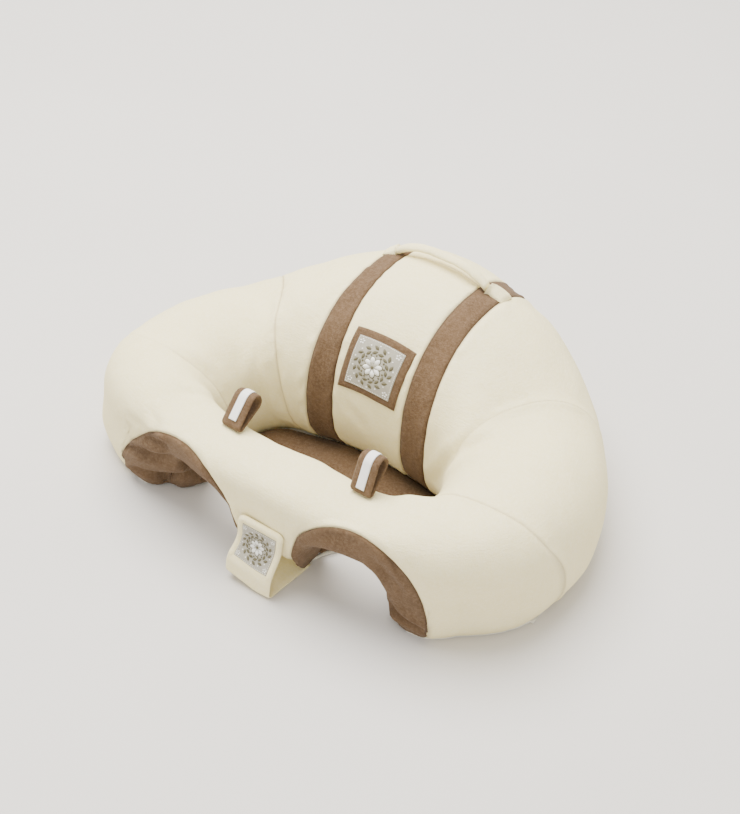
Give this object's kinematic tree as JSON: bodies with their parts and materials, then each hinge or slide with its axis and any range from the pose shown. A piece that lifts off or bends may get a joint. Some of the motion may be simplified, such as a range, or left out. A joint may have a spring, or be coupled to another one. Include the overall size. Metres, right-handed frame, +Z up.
{
  "type": "baby floor seat",
  "caption": "Stuffed fleece floor seat that props a baby up to sit: a ring with a high back, a front bar on a crotch post, leg openings, a padded seat, toy loops and a carry handle.",
  "frame": {"origin": "on the floor, in the underside of the base panel, midway between the two stripes, 190 mm behind the middle of the front bar's face", "axes": "+X to the right of someone facing the seat from the front, across the arms; +Y from the front bar to the back; +Z up from the floor"},
  "size_m": [0.5792, 0.4385, 0.2303],
  "materials": {
    "cream_fleece": "short-pile plush fleece, cream",
    "brown_fleece": "short-pile plush fleece, light brown",
    "printed_cotton": "woven cotton with a printed pattern, grey-beige",
    "ribbon": "soft woven ribbon, white",
    "polyester_filling": "loose polyester fibre, white",
    "quilted_base": "thin quilted cloth, cream"
  },
  "bodies": {
    "seat": {"back_centre_panel": "cream_fleece", "rear_centre_panel": "cream_fleece", "left_stripe": "brown_fleece", "right_stripe": "brown_fleece", "left_wing_panel": "cream_fleece", "right_wing_panel": "cream_fleece", "left_arm_panel": "cream_fleece", "right_arm_panel": "cream_fleece", "front_panel": "cream_fleece", "left_leg_facing": "brown_fleece", "right_leg_facing": "brown_fleece", "base_panel": "quilted_base", "seat_panel": "brown_fleece", "seat_wadding": "polyester_filling", "back_filling": "polyester_filling", "left_arm_filling": "polyester_filling", "right_arm_filling": "polyester_filling", "bar_filling": "polyester_filling", "left_handle_end": "cream_fleece", "right_handle_end": "cream_fleece", "back_patch_border": "brown_fleece", "back_patch": "printed_cotton", "front_loop": "cream_fleece", "front_patch": "printed_cotton"},
    "handle": {"carry_handle": "cream_fleece"},
    "left_loop": {"left_toy_loop": "brown_fleece", "left_toy_ribbon": "ribbon"},
    "right_loop": {"right_toy_loop": "brown_fleece", "right_toy_ribbon": "ribbon"}
  },
  "joints": [
    {"name": "handle_fold", "type": "hinge", "parent": "seat", "child": "handle", "pos_m": [0, 0.13468, 0.21032], "axis": [1, 0, 0], "range_deg": [-50, 45]},
    {"name": "left_loop_fold", "type": "hinge", "parent": "seat", "child": "left_loop", "pos_m": [-0.075, -0.13767, 0.14131], "axis": [1, 0, 0], "range_deg": [-12, 85]},
    {"name": "right_loop_fold", "type": "hinge", "parent": "seat", "child": "right_loop", "pos_m": [0.09, -0.1368, 0.14196], "axis": [1, 0, 0], "range_deg": [-30, 65]}
  ]
}
